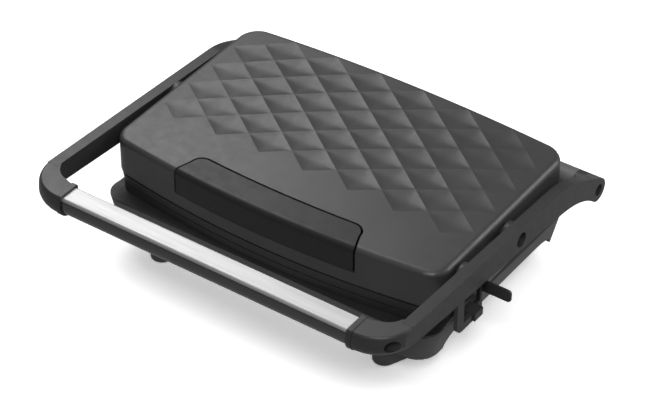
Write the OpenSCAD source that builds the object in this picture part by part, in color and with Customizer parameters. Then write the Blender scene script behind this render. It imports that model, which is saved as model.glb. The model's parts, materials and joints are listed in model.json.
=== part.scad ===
// Contact sandwich toaster with a U-shaped handle frame and a self-levelling lid.
// Lengths in mm, +Z up, the user stands at -Y. Heights are measured from the counter.
// Every y in this file is measured from the hinge axis; seat() then moves the finished
// piece so that the origin is under the middle of the whole toaster.

/* [Handle frame] */
// Gap between the lid's side and each arm
arm_gap = 5; // [3.5:0.1:7]
// Reach of the frame in front of the hinge axis
frame_reach = 246.2; // [240:0.1:260]
// Thickness of an arm, seen from above
arm_w = 8; // [7.5:0.1:8.4]
// Height of the arm's top face at the front corner
arm_front_top = 90.5; // [89:0.1:93]
// Height of the arm's section at the front corner
arm_front_h = 14.7; // [13:0.1:16]
// Fall of the arm's top face towards the hinge, as a slope
arm_top_fall = 0.045; // [0.03:0.005:0.06]
// Fall of the arm's bottom face towards the hinge, as a slope
arm_bottom_fall = 0.07; // [0.055:0.005:0.08]
// Outer radius of the frame's front corners
corner_r = 29; // [25:0.5:32]
// Inner radius of the frame's front corners
inner_corner_r = 15; // [10:0.5:18]
// Length of the curved neck between the straight arm and the hinge axis
neck_len = 50; // [46:1:56]
// Radius of the hinge knuckle
knuckle_r = 8.4; // [7.6:0.1:9]
// Width of the hinge knuckle along the axis
knuckle_w = 16.4; // [15:0.1:18]
// Depth of the strip that closes each arm's wiring channel
strip_t = 2.5; // [2:0.1:2.9]
// Height of that strip
strip_h = 7; // [5:0.5:8]

/* [Grip] */
// Depth of the grip section, front to back
bar_d = 19; // [17:0.5:21]
// Height of the grip section
bar_h = 18.5; // [16:0.5:20]
// Straight stretch of the moulded corner beside each collar
corner_shank = 0.5; // [0.5:0.5:4]
// Thickness of the metal strip
metal_t = 0.8; // [0.6:0.1:1.2]
// How far the metal strip turns down over the grip's edges
strip_drop = 1.4; // [1:0.1:2.5]
// Step from the collar down to the grip
grip_step = 1.6; // [1:0.1:2]
// Width of each collar
collar_w = 4; // [3:0.5:5]
// How far a collar stands proud of the moulded corner
collar_proud = 0.5; // [0.3:0.1:1]

/* [Lid] */
// Width of the lid
lid_w = 254; // [248:0.5:258]
// Distance from the hinge axis to the lid's back edge
lid_back = 19.7; // [18.5:0.1:22]
// Depth of the lid at its middle
lid_d = 163.2; // [158:0.2:170]
// Radius of the bow of the lid's front edge
lid_bow_r = 690; // [500:5:900]
// Radius of the lid's corners, seen from above
lid_corner_r = 15; // [12:0.5:20]
// Height of the lid's top edge at its front corners
lid_edge_z = 88.3; // [86:0.1:90]
// Rise of that edge from the front corners to the back ones
lid_rise = 2.7; // [0:0.1:5]
// How much higher the top is in the middle of its back edge than at the corners
lid_crown = 5.4; // [2:0.1:7]
// Distance over which that crown fades out towards the front
crown_run = 206; // [190:2:400]
// Height of the lid cover's lower edge
lid_skirt_z = 60; // [59:0.1:62]
// Wall of the lid cover
lid_wall = 2.5; // [2:0.1:3]
// Rounding of the lid's top edge
lid_edge_r = 3.6; // [2:0.1:5]

/* [Quilting] */
// Width of one diamond
diamond_w = 34.6; // [30:0.2:38]
// Depth of one diamond, front to back
diamond_d = 25.1; // [22:0.1:28]
// Depth of the scoop in each diamond
scoop = 0.9; // [0.4:0.1:1.2]
// Distance from the lid's back edge to the last row of diamonds
quilt_back = 3.5; // [1:0.1:8]
// Least distance from the lid's side edges to the quilting
quilt_side = 5; // [4:0.5:12]
// Rows of diamonds
quilt_rows = 8; // [4:1:9]

/* [Front insert] */
// Width of the insert at the lid's front edge
insert_w = 139; // [110:1:150]
// Width of the insert at its back edge
insert_back_w = 131; // [100:1:140]
// Depth of the insert on the lid's top
insert_d = 21; // [15:0.5:26]
// Height of the insert's lower edge
insert_z = 71.3; // [66:0.1:76]
// Thickness of the insert
insert_t = 1.6; // [1.2:0.1:2]
// Gap all round the insert
insert_gap = 0.35; // [0.2:0.05:0.6]

/* [Base] */
// How far the base stands out past the lid on each side
base_side = 1.5; // [1.2:0.1:3]
// Depth of the base
base_d = 164.5; // [160:0.5:172]
// Distance from the hinge axis to the base's back wall
base_back = 18.7; // [17:0.1:21]
// Radius of the base's corners
base_corner_r = 13; // [10:0.5:18]
// Height of the joint between the housing and the frame above it
joint_z = 45.4; // [44:0.1:46.5]
// Height of the skirt's lower edge along the sides
skirt_z = 33.5; // [32:0.1:35]
// Height of the lower edge of the corner lobes
lobe_z = 24; // [21:0.5:28]
// Wall of the housing
base_wall = 2.5; // [2:0.1:3]
// Inward lean of the skirt, as a slope
skirt_draft = 0.19; // [0.05:0.01:0.22]
// The same lean of the front and back walls
front_draft = 0.07; // [0:0.01:0.12]
// Corner radius of the skirt's lower edge
lobe_corner_r = 15; // [10:0.5:18]
// Height of the bottom pan in this drawing
floor_z = 14; // [10:0.5:18]
// Distance from the base's side to the bottom pan
tub_side = 24.5; // [22.5:0.5:30]
// Least gap between the bottom pan and the feet in front of it and behind it
pan_gap = 1; // [0.6:0.1:4]
// Height of the raised rim round the plate
rim_z = 52.6; // [52:0.1:52.8]
// Radius of each foot's ends
foot_r = 7.8; // [7:0.1:8.4]
// Distance from the base's side to the middle of each foot's inner end
foot_side = 39.8; // [37.5:0.1:48]
// Length of each foot between the centres of its ends
foot_len = 12; // [8:0.5:14]
// Angle of each foot from front-to-back, turned outwards
foot_turn = 24; // [0:1:30]
// Height of the counter in this drawing
counter_z = 5; // [4:0.1:6]

/* [Plates] */
// Distance from the lid's side to the cooking plate's edge
plate_inset = 12; // [11.5:0.5:15]
// Height of a plate's rib
rib_h = 4; // [3:0.1:4.5]
// Spacing of the ribs
rib_pitch = 10; // [8:0.5:14]
// Width of a rib
rib_w = 3.2; // [2.4:0.1:4]
// Thickness of a plate behind its ribs
plate_t = 3.4; // [3:0.1:4]
// Gap between the facing ribs when the lid is shut
plate_gap = 1.6; // [1:0.1:2.4]
// Radius of the tubular heating element
element_r = 3.3; // [2.8:0.1:3.6]

/* [Hinge and pivots] */
// Height of the hinge axis
hinge_z = 53.5; // [52.5:0.1:55]
// Radius of the hinge pin
hinge_pin_r = 3; // [2.5:0.1:3.4]
// Distance of the lid's pivot in front of the hinge axis
pivot_back = 97.7; // [90:0.1:105]
// Height of the lid's pivot
pivot_z = 76; // [75:0.1:77]
// Radius of the lid's pivot pin
pivot_pin_r = 2.5; // [2:0.1:3]
// Radius of the round boss on the inside of the arm
boss_r = 9.2; // [8.5:0.1:9.6]
// Radial clearance of a turning pin
run_gap = 0.05; // [0.02:0.01:0.08]

/* [Latch and lever] */
// Distance of the latch's pivot in front of the hinge axis
latch_back = 150.7; // [145:0.1:155]
// Height of the latch's pivot
latch_z = 79; // [78:0.1:80]
// Thickness of the latch plate
latch_t = 2.7; // [2.2:0.1:3]
// Swing of the latch from free to locked, in degrees
latch_swing = 14; // [12:0.5:15]
// Overhang of the lever past the arm
lever_out = 10.5; // [8:0.5:14]
// Thickness of the lever
lever_t = 2; // [1.6:0.1:2.6]
// Height of the lever's tab
lever_h = 8.8; // [7:0.1:9]
// Travel of the lever along the base
lever_travel = 12; // [8:0.5:16]

/* [Hidden] */
$fn = 48;
tiny = 0.01;
far = 400;

// colours
black = [0.10, 0.10, 0.11];
soft_black = [0.16, 0.16, 0.17];
lid_grey = [0.22, 0.22, 0.23];
steel = [0.78, 0.78, 0.79];
cast = [0.20, 0.20, 0.21];
rubber = [0.06, 0.06, 0.06];
ceramic = [0.88, 0.86, 0.80];
insert_grey = [0.17, 0.17, 0.18];

// widths that follow from the lid's
frame_w = lid_w + 2 * (arm_gap + arm_w);
base_w = lid_w + 2 * base_side;
plate_w = lid_w - 2 * plate_inset;
tub_w = base_w - 2 * tub_side;
foot_pitch_x = base_w - 2 * foot_side;

// plan places of the frame
half = frame_w / 2;
arm_in = half - arm_w;
corner_y = -frame_reach + corner_r;
corner_side_cut = 2.5;
corner_x = half - corner_r + corner_side_cut;
inner_y = -frame_reach + bar_d;
knuckle_in = half - knuckle_w;
collar_out = corner_x - corner_shank;
collar_in = collar_out - collar_w;
boss_t = 3;

// the whole toaster's middle, for the origin
reach_x = half + lever_out;
centre_x = (reach_x - half) / 2;
centre_y = (knuckle_r - frame_reach) / 2;

// grip section
bar_top = arm_front_top + collar_proud;
strip_bottom = bar_top - grip_step - strip_drop;
bar_nose = 3;
bar_belly = 8;
bar_keel = 10.3;
bar_heel = 8;
grip_y = -frame_reach + 11.6;
grip_z = bar_top - 8;

// lid and base places
lid_front = -lid_back - lid_d;
base_front = -base_back - base_d;
part_z = rim_z + 0.2;
lid_frame_z = part_z + 0.2;
plate_fit = 0.5;
ledge = 4;
lower_rib_z = part_z - plate_gap / 2;
lower_face_z = lower_rib_z - rib_h;
lower_back_z = lower_face_z - plate_t;
element_sink = 1.5;
element_z = lower_back_z - element_r + element_sink;
shield_drop = 5.2;
shield_t = 0.6;
shelf_top = joint_z - 6.9;
shelf_t = base_wall;
shelf_bottom = shelf_top - shelf_t;
pad_h = 4;
leg_step = 1.2;
pad_rim = 1.4;
foot_front = 10.8;
foot_rear = 11.8;
tub_y = -base_back - base_d / 2 - 1.05;
tub_d = floor(base_d - foot_front - foot_rear - 2 * (foot_len * cos(foot_turn) + foot_r + pan_gap));
floor_top = floor_z + base_wall;
side_flange_t = 3;
front_flange_t = 1.4;
rim_g = 1;
rim_top_g = -1.5;

// screws
screw_r = 1.5;
screw_head_r = 3;
screw_head_h = 2.2;
post_r = 4;
post_x = (base_w + plate_w) / 4 - 1.5;
frame_screw_x = (lid_w / 2 - lid_wall) - post_r + 0.4;
screw_ys = [lid_front + 36, -lid_back - 24];
plate_screw_x = plate_w / 2 - ledge / 2;
plate_screw_ys = [lid_front + 50, -lid_back - 40];

// hinge
barrel_len = 27;
barrel_gap = 0.3;
barrel_out = knuckle_in - barrel_gap;
pin_head_r = 4;
pin_head_in = half - 7;
pin_head_t = 2.4;
sink_r = pin_head_r + 0.2;

// lid pivot
pivot_head_in = half - 4.6;
pivot_head_r = 3.8;
pivot_sink_r = pivot_head_r + 1.4;
ear_out = lid_w / 2 - lid_wall - 0.4;
ear_t = 6;
ear_in = ear_out - ear_t;
ear_r = 6.6;
bush_r = 4.5;
bush_flange_r = 6;
bush_gap = 0.3;
pivot_slot_r = bush_flange_r + 0.5;

// latch and catch
latch_out = half - 1.9;
latch_in = latch_out - latch_t;
latch_side_gap = 0.1;
latch_pin_r = 2;
strap_w = 7.5;
hook_bottom = 44.8;
hook_h = 5.7;
hook_rear = -latch_back + 11;
hook_len = 9.3;
strap_front = -latch_back - 16.5;
catch_t = 3.1;
catch_gap = 1;
catch_front = hook_rear + catch_gap;
catch_d = 11.4;
catch_foot = 38;

// lever
lever_y = -pivot_back - 27;
tab_z = joint_z + side_flange_t + 0.3;
tab_in = base_w / 2 - 1.7;
neck_h = 3.3;
lever_foot_in = plate_w / 2 + 4.3;

// ---- shapes and outlines -------------------------------------------------

// a point on a quadratic curve
function curve(a, c, b, t) = (1 - t) * (1 - t) * a + 2 * t * (1 - t) * c + t * t * b;
// points of an arc about c, from angle a0 to a1, in n steps
function arc(c, r, a0, a1, n) =
    [for (i = [0 : n]) c + r * [cos(a0 + (a1 - a0) * i / n), sin(a0 + (a1 - a0) * i / n)]];
// direction of the tangent point on a circle of radius r, seen from point p (side = 1 or -1)
function touch(p, r, side) = atan2(p[1], p[0]) - side * acos(r / norm(p));

// arm's top and bottom lines
function arm_top(y) = arm_front_top - arm_top_fall * (y - corner_y);
function arm_bottom(y) = arm_front_top - arm_front_h - arm_bottom_fall * (y - corner_y);

// The lid's outline with a bowed front edge, grown outwards by g
bow_y = lid_front + lid_bow_r;
function lid_outline(g) = let (
    r = max(lid_corner_r + g, 6), w = lid_w / 2 + g - r, big = lid_bow_r + g,
    cy = bow_y - sqrt(pow(big - r, 2) - w * w), a = atan2(cy - bow_y, w)) concat(
    arc([w, cy], r, a, 0, 6),
    arc([w, g - lid_back - r], r, 0, 90, 6),
    [for (i = [5 : -1 : -5]) [w * i / 6, g - lid_back]],
    arc([-w, g - lid_back - r], r, 90, 180, 6),
    arc([-w, cy], r, 180, 180 - a, 6),
    [for (i = [1 : 11]) [0, bow_y] + big * [cos(-180 - a + (2 * a + 180) * i / 12),
        sin(-180 - a + (2 * a + 180) * i / 12)]]);

// A rounded rectangle outline about (0, cy)
function round_box(w, d, cy, r) = concat(
    arc([w / 2 - r, cy - d / 2 + r], r, -90, 0, 6), arc([w / 2 - r, cy + d / 2 - r], r, 0, 90, 6),
    arc([r - w / 2, cy + d / 2 - r], r, 90, 180, 6), arc([r - w / 2, cy - d / 2 + r], r, 180, 270, 6));
function base_outline(g) =
    round_box(base_w + 2 * g, base_d + 2 * g, -base_back - base_d / 2, base_corner_r + g);

// Height of the lid's top: its edges are nearly level, its middle is crowned
function top_z(x, y) = lid_edge_z + lid_rise * (y - lid_front) / lid_d
    + lid_crown * (1 - pow(2 * x / lid_w, 2)) * (1 - pow((y + lid_back) / crown_run, 2));

// Front, belly and back of the grip section; d is measured back from the frame's front line
function snap(p) = [for (v = p) round(v * 100) / 100];
function bar_section(s) = let (
    top = bar_top - s, bottom = bar_top - bar_h + s, belly = bar_top - bar_belly,
    heel = bottom + bar_heel, back = bar_d - s) [for (p = concat(
    [for (a = [0 : 15 : 90]) [s + bar_nose * (1 - sin(a)), belly + (top - belly) * cos(a)]],
    [for (a = [10 : 10 : 90]) [s + (bar_keel - s) * (1 - cos(a)), belly - (belly - bottom) * sin(a)]],
    [for (a = [15 : 15 : 90]) [bar_keel + (back - bar_keel) * sin(a), heel - bar_heel * cos(a)]],
    [[back, top - 1], [back - 1, top]])) snap(p)];

// ---- helpers ---------------------------------------------------------------

module seat() translate([-centre_x, -centre_y, -counter_z]) children();
module along_x(x0, x1) translate([x0, 0, 0]) rotate([90, 0, 90]) linear_extrude(x1 - x0) children();
module along_y(y0, y1) translate([0, y1, 0]) rotate([90, 0, 0]) linear_extrude(y1 - y0) children();
module between(z0, z1) translate([0, 0, z0]) linear_extrude(z1 - z0) children();
module rod_x(x0, x1, r) translate([x0, 0, 0]) rotate([0, 90, 0]) cylinder(h = x1 - x0, r = r);
module rod_z(z0, z1, r) translate([0, 0, z0]) cylinder(h = z1 - z0, r = r);
module both() { children(); mirror([1, 0, 0]) children(); }

// A closed solid through rings of equally many points, from the lowest to the highest
module loft(rings) {
    n = len(rings[0]);
    m = len(rings);
    sides = [for (j = [0 : m - 2], i = [0 : n - 1]) let (k = (i + 1) % n)
        each [[j * n + i, (j + 1) * n + i, (j + 1) * n + k], [j * n + i, (j + 1) * n + k, j * n + k]]];
    bottom = [for (i = [0 : n - 1]) i];
    top = [for (i = [n - 1 : -1 : 0]) (m - 1) * n + i];
    polyhedron(points = [for (r = rings) each r], faces = concat([bottom], sides, [top]));
}
function at_z(outline, z) = [for (p = outline) [p[0], p[1], z]];
function at_top(outline, drop) = [for (p = outline) [p[0], p[1], top_z(p[0], p[1]) - drop]];

// ---- handle frame ----------------------------------------------------------

// Side view of the straight arm, its curved neck and the knuckle, as points (y, z)
neck_top = [-neck_len * 0.66, arm_top(-neck_len * 0.66)];
neck_bottom = [-neck_len * 0.44, arm_bottom(-neck_len * 0.44)];
hinge_c = [0, hinge_z];
touch_top = touch(neck_top - hinge_c, knuckle_r, 1);
touch_bottom = touch(neck_bottom - hinge_c, knuckle_r, -1);
arm_start = corner_y - 3;
function on_knuckle(a) = hinge_c + (knuckle_r - 0.03) * [cos(a), sin(a)];
arm_side = concat(
    [[arm_start, arm_bottom(arm_start)], [arm_start, arm_top(arm_start)]],
    [for (t = [0 : 0.125 : 0.99])
        curve([-neck_len, arm_top(-neck_len)], neck_top, on_knuckle(touch_top), t)],
    [on_knuckle(touch_top), hinge_c, on_knuckle(touch_bottom)],
    [for (t = [0.125 : 0.125 : 1])
        curve(on_knuckle(touch_bottom), neck_bottom, [-neck_len, arm_bottom(-neck_len)], t)]);

// The grip section as a (y, z) face, stepped in by s from the collar's surface
module bar_face(s) polygon([for (p = bar_section(s)) [p[0] - frame_reach, p[1]]]);

// Free space inside the frame, with rounded inner corners
module frame_window()
    polygon(concat([[0, 0], [0, inner_y], [arm_in - inner_corner_r, inner_y]],
        arc([arm_in - inner_corner_r, inner_y + inner_corner_r], inner_corner_r, -90, 0, 8),
        [[arm_in, 0]]));

module frame_corner() difference() {
    intersection() {
        union() {
            along_x(collar_out, corner_x) bar_face(collar_proud);
            translate([corner_x, corner_y, 0]) rotate([0, 0, -90]) rotate_extrude(angle = 90, $fn = 96)
                polygon([for (p = bar_section(collar_proud)) [corner_r - p[0], p[1]]]);
        }
        translate([0, -far, 0]) cube([half, 2 * far, 2 * far]);
    }
    between(0, far) frame_window();
}

module arm_outer() {
    frame_corner();
    along_x(arm_in, half) polygon(arm_side);
    translate([0, 0, hinge_z]) rod_x(knuckle_in, half, knuckle_r);
    translate([0, -pivot_back, pivot_z]) rod_x(arm_in - boss_t, arm_in + 1, boss_r);
}

// The strip's side view, ending at y = rear
strip_front = corner_y + 8;
strip_rear = -pivot_back - boss_r - 3;
strip_rear_right = -latch_back - boss_r - 3;
module strip_side(rear) polygon([
    [strip_front, arm_bottom(strip_front)], [rear, arm_bottom(rear)],
    [rear, arm_bottom(rear) + strip_h], [strip_front, arm_bottom(strip_front) + strip_h]]);

module arm_bores(rear) {
    // hinge screw: sunk head outside, turning fit in the knuckle
    translate([0, 0, hinge_z]) {
        rod_x(knuckle_in - 1, half + 1, hinge_pin_r + run_gap);
        rod_x(pin_head_in, half + 1, sink_r);
    }
    // lid pivot: sunk head outside, pin fixed in the arm
    translate([0, -pivot_back, pivot_z]) {
        rod_x(arm_in - boss_t - 1, half + 1, pivot_pin_r);
        rod_x(pivot_head_in, half + 1, pivot_sink_r);
    }
    // grip screw, along the bar
    translate([0, grip_y, grip_z]) {
        rod_x(collar_out - 1, half + 1, screw_r);
        rod_x(collar_out + 9, half + 1, sink_r);
    }
    along_x(arm_in - 1, arm_in + strip_t) strip_side(rear);
}

module right_arm() seat() color(soft_black) difference() {
    union() {
        arm_outer();
        translate([0, -latch_back, latch_z]) rod_x(arm_in - boss_t + 0.5, arm_in + 1, boss_r - 0.6);
    }
    arm_bores(strip_rear_right);
    // slot and blind pin hole of the latch
    along_x(latch_in - latch_side_gap, latch_out + latch_side_gap) polygon([
        [strap_front - 2, hook_bottom], [strap_front - 2, latch_z + 3],
        [-latch_back - 6, latch_z + 6.6], [-latch_back + 9, latch_z + 6.6], [-latch_back + 12, hook_bottom]]);
    translate([0, -latch_back, latch_z]) rod_x(arm_in - boss_t - 1, half - 0.8, latch_pin_r);
}

module left_arm() seat() color(soft_black) mirror([1, 0, 0]) difference() {
    arm_outer();
    arm_bores(strip_rear);
}

module arm_strip(rear) along_x(arm_in, arm_in + strip_t) strip_side(rear);
module right_arm_strip() seat() color(black) arm_strip(strip_rear_right);
module left_arm_strip() seat() color(black) mirror([1, 0, 0]) arm_strip(strip_rear);

module grip_core() seat() color(black) difference() {
    union() {
        along_x(-collar_out, collar_out) bar_face(grip_step + metal_t + 0.1);
        along_x(-collar_in, collar_in) difference() {
            bar_face(grip_step);
            translate([-frame_reach - 1, strip_bottom - 0.1]) square([bar_d + 2, bar_h]);
        }
    }
    both() translate([0, grip_y, grip_z]) rod_x(collar_out - 16, collar_out + 1, screw_r);
}

module grip_strip() seat() color(steel) along_x(-collar_in, collar_in) difference() {
    bar_face(grip_step);
    bar_face(grip_step + metal_t);
    translate([-frame_reach - 1, strip_bottom - bar_h]) square([bar_d + 2, bar_h]);
}

module grip_collars() seat() color(soft_black) both() difference() {
    along_x(collar_in, collar_out) bar_face(0);
    along_x(collar_in - 1, collar_out + 1) bar_face(grip_step + metal_t);
}

module grip_screws() seat() color(steel) both() translate([0, grip_y, grip_z]) {
    rod_x(collar_out - 14, collar_out + 9.5, screw_r);
    rod_x(collar_out + 9, collar_out + 9 + screw_head_h, screw_head_r);
}

module pivot_pins() seat() color(steel) both() translate([0, -pivot_back, pivot_z]) {
    rod_x(ear_in, pivot_head_in + 0.5, pivot_pin_r);
    rod_x(pivot_head_in, pivot_head_in + 2.2, pivot_head_r);
}

module latch_pin() seat() color(steel) translate([0, -latch_back, latch_z])
    rod_x(arm_in - boss_t + 0.8, half - 0.8, latch_pin_r);

module hinge_pins() seat() color(steel) both() translate([0, 0, hinge_z]) {
    rod_x(barrel_out - barrel_len + 6, pin_head_in + 0.5, hinge_pin_r);
    rod_x(pin_head_in, pin_head_in + pin_head_t, pin_head_r);
}

// ---- latch and lever -------------------------------------------------------

// Side view of the latch: pivot eye, strap and hook, as (y, z)
module latch_side() {
    eye = 5.6;
    difference() {
        union() {
            translate([-latch_back, latch_z]) circle(r = eye);
            polygon([[strap_front, hook_bottom + 6], [strap_front, latch_z - 5],
                [-latch_back - 4, latch_z + 4], [-latch_back + 5, latch_z - 3],
                [strap_front + strap_w, latch_z - 11], [strap_front + strap_w, hook_bottom + 6]]);
            translate([strap_front + 6, hook_bottom + 6]) circle(r = 6);
            translate([strap_front + 6, hook_bottom]) square([hook_rear - strap_front - 6, hook_h]);
            translate([strap_front, hook_bottom + 5.9]) square([strap_w, 3]);
        }
        translate([strap_front + strap_w, hook_bottom + hook_h]) square([8, 9]);
    }
}

module latch() seat() color(soft_black) {
    difference() {
        along_x(latch_in, latch_out) latch_side();
        translate([0, -latch_back, latch_z]) rod_x(latch_in - 1, latch_out + 1, latch_pin_r + run_gap);
    }
    translate([base_w / 2 + 1.3, hook_rear - hook_len, hook_bottom])
        cube([latch_out + 1.5 - base_w / 2 - 1.3, hook_len, hook_h]);
}

// A hooked plate on the base's side that the latch swings under
module catch_plate() seat() color(black) along_x(base_w / 2, base_w / 2 + catch_t) difference() {
    polygon([[catch_front, hook_bottom - 1.3], [catch_front, 61], [catch_front + catch_d - 1.7, 61],
        [catch_front + catch_d, catch_foot], [catch_front + 4.7, catch_foot]]);
    translate([catch_front - 1, hook_bottom + 0.2]) square([9.2, 11.5]);
}

module lever_side(grow) {
    // foot, neck and tab, as (x, z)
    translate([lever_foot_in - grow, tab_z - 2.2 - grow]) square([2.2 + 2 * grow, neck_h + 2.2 + 2 * grow]);
    translate([lever_foot_in, tab_z - grow]) square([tab_in + 1 - lever_foot_in, neck_h + 2 * grow]);
}

module release_lever() seat() color(black) along_y(lever_y - lever_t / 2, lever_y + lever_t / 2) {
    lever_side(0);
    round = 2.4;
    translate([tab_in, tab_z]) square([reach_x - round - tab_in, lever_h]);
    translate([tab_in, tab_z + round]) square([reach_x - tab_in, lever_h - 2 * round]);
    for (z = [tab_z + round, tab_z + lever_h - round]) translate([reach_x - round, z]) circle(r = round);
}

// ---- base --------------------------------------------------------------------

foot_xy = [for (x = [-1, 1]) each [[x * foot_pitch_x / 2, base_front + foot_front],
    [x * foot_pitch_x / 2, -base_back - foot_rear]]];
foot_out = [for (p = foot_xy) foot_len * [sign(p[0]) * sin(foot_turn), sign(tub_y - p[1]) * cos(foot_turn)]];

// Plan of foot i: two round ends joined by straight sides
function foot_plan(i, r) = let (a = foot_xy[i], b = a + foot_out[i], t = atan2(foot_out[i][1], foot_out[i][0]))
    [for (p = concat([for (d = [-90 : 15 : 90]) b + r * [cos(t + d), sin(t + d)]],
        [for (d = [90 : 15 : 270]) a + r * [cos(t + d), sin(t + d)]])) snap(p)];
post_xy = [for (x = [-1, 1], y = screw_ys) [x * post_x, y]];

// Lower edge of the skirt between two lobes, as a cut-out over a run from a to b
module skirt_arch(a, b, sweep) polygon(concat(
    [[a, lobe_z - 1]],
    [for (t = [0 : 15 : 90]) [a + sweep * (1 - cos(t)), lobe_z + (skirt_z - lobe_z) * sin(t)]],
    [for (t = [90 : -15 : 0]) [b - sweep * (1 - cos(t)), lobe_z + (skirt_z - lobe_z) * sin(t)]],
    [[b, lobe_z - 1]]));

// Outline at the skirt's lower edge: it leans in less at the front and the back
function skirt_foot(g) = let (h = joint_z - lobe_z)
    round_box(base_w + 2 * (g - skirt_draft * h), base_d + 2 * (g - front_draft * h),
        -base_back - base_d / 2, lobe_corner_r + g);

module skirt() {
    difference() {
        loft([at_z(skirt_foot(0), lobe_z), at_z(base_outline(0), joint_z)]);
        loft([at_z(skirt_foot(-base_wall - skirt_draft), lobe_z - 1),
            at_z(base_outline(skirt_draft - base_wall), joint_z + 1)]);
        along_x(-far, far) skirt_arch(base_front + 22.5, -base_back - 14, 20);
        along_y(-far, 0) skirt_arch(-base_w / 2 + 33, base_w / 2 - 33, 20);
    }
}

module lower_housing() seat() color(soft_black) difference() {
    union() {
        skirt();
        between(shelf_bottom, shelf_top) polygon(base_outline(-2.6));
    }
    // opening over the pan, and room for the feet and the screws
    between(0, far) polygon(round_box(tub_w - 2 * base_wall, tub_d - 2 * base_wall, tub_y, 10));
    for (i = [0 : 3]) between(0, shelf_bottom) polygon(foot_plan(i, foot_r + 0.1));
    for (p = foot_xy) translate([p[0], p[1], 0]) rod_z(0, far, screw_r);
    for (p = post_xy) translate([p[0], p[1], 0]) rod_z(shelf_bottom - 1, shelf_top + 1, screw_r);
    for (p = pan_xy) translate([p[0], p[1], 0]) rod_z(0, far, screw_r);
}

// A pan under the shelf, with side flanges that are screwed to it
pan_lip = 7;
pan_lip_t = 2;
pan_xy = [for (x = [-1, 1], y = [-1, 1]) [x * (tub_w / 2 + pan_lip / 2), tub_y + y * tub_d / 4]];
module bottom_pan() seat() color(black) difference() {
    union() {
        between(floor_z, shelf_bottom) polygon(round_box(tub_w, tub_d, tub_y, 12));
        between(shelf_bottom - pan_lip_t, shelf_bottom)
            polygon(round_box(tub_w + 2 * pan_lip, tub_d * 0.7, tub_y, 4));
    }
    between(floor_top, far) polygon(round_box(tub_w - 2 * base_wall, tub_d - 2 * base_wall, tub_y, 10));
    for (p = pan_xy) translate([p[0], p[1], 0]) rod_z(0, far, screw_r);
    // cooling slots through the floor
    for (i = [-4 : 4]) translate([i * 14 - 2, tub_y - 32, floor_z - 1]) cube([4, 26, base_wall + 2]);
    translate([gland_x, tub_y + tub_d / 2, gland_z]) rotate([90, 0, 0])
        cylinder(h = 20, r = gland_r, center = true);
}

module pan_screws() seat() color(steel) for (p = pan_xy) translate([p[0], p[1], 0]) {
    rod_z(shelf_bottom - pan_lip_t - 0.5, shelf_top, screw_r);
    rod_z(shelf_bottom - pan_lip_t - screw_head_h, shelf_bottom - pan_lip_t, screw_head_r);
}

module foot_posts() seat() color(soft_black) difference() {
    union() {
        for (i = [0 : 3]) between(counter_z + leg_step, shelf_bottom) polygon(foot_plan(i, foot_r));
        for (p = foot_xy) translate([p[0], p[1], 0]) rod_z(shelf_bottom - 1, shelf_top, screw_r);
    }
    for (i = [0 : 3]) between(0, counter_z + pad_h) polygon(foot_plan(i, foot_r - pad_rim));
}

module base_frame() seat() color(soft_black) difference() {
    union() {
        // flange, thicker along the sides and the back
        between(joint_z, joint_z + front_flange_t) polygon(base_outline(0));
        difference() {
            between(joint_z, joint_z + side_flange_t) polygon(base_outline(0));
            translate([-far, base_front - 1, joint_z + front_flange_t]) cube([2 * far, 48, 9]);
        }
        difference() {
            loft([at_z(lid_outline(rim_g), joint_z + front_flange_t - 0.4),
                at_z(lid_outline(rim_top_g), rim_z)]);
            translate([-far, -base_back, 0]) cube([2 * far, far, far]);
        }
        // ledge that carries the plate
        between(lower_back_z - 2.2, joint_z + tiny) polygon(lid_outline(-plate_inset + 1.8));
        for (p = post_xy) translate([p[0], p[1], 0]) rod_z(shelf_top, joint_z + 1, post_r);
        // hinge brackets
        both() {
            translate([0, 0, hinge_z]) rod_x(barrel_out - barrel_len, barrel_out, knuckle_r);
            along_x(barrel_out - barrel_len, barrel_out - 1) polygon([
                [-base_back - 3, joint_z], [0, hinge_z - knuckle_r], [0, hinge_z - 2],
                [-base_back, joint_z + side_flange_t], [-base_back - 3, joint_z + side_flange_t]]);
        }
    }
    between(lower_back_z, far) polygon(lid_outline(-plate_inset + plate_fit));
    between(0, far) polygon(lid_outline(-plate_inset - ledge));
    for (p = post_xy) translate([p[0], p[1], 0]) rod_z(0, joint_z + 3, screw_r);
    plate_screw_holes(0, joint_z);
    both() translate([0, 0, hinge_z]) rod_x(barrel_out - barrel_len + 6, barrel_out + 1, hinge_pin_r);
    // slot of the lever, with its travel
    along_y(lever_y - lever_t / 2 - 0.1, lever_y + lever_t / 2 + lever_travel + 0.1) lever_side(0.1);
}

module rubber_feet() seat() color(rubber)
    for (i = [0 : 3]) between(counter_z, counter_z + pad_h) polygon(foot_plan(i, foot_r - pad_rim));

module housing_screws() seat() color(steel) for (p = post_xy) translate([p[0], p[1], 0]) {
    rod_z(shelf_bottom - 0.5, joint_z + 2, screw_r);
    rod_z(shelf_bottom - screw_head_h, shelf_bottom, screw_head_r);
}

// strain relief where the mains lead enters
gland_x = 60;
gland_z = 25;
gland_r = 7;
cord_r = 3.6;
module cord_gland() seat() color(black)
    translate([gland_x, tub_y + tub_d / 2, gland_z]) rotate([-90, 0, 0]) difference() {
        union() {
            translate([0, 0, -base_wall]) cylinder(h = base_wall, r = gland_r);
            cylinder(h = 3, r = gland_r + 2);
            cylinder(h = 12, r = gland_r - 1.5);
            translate([0, 0, -base_wall - 2]) cylinder(h = 2, r = gland_r + 1.5);
        }
        translate([0, 0, -10]) cylinder(h = 30, r = cord_r);
    }

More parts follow.
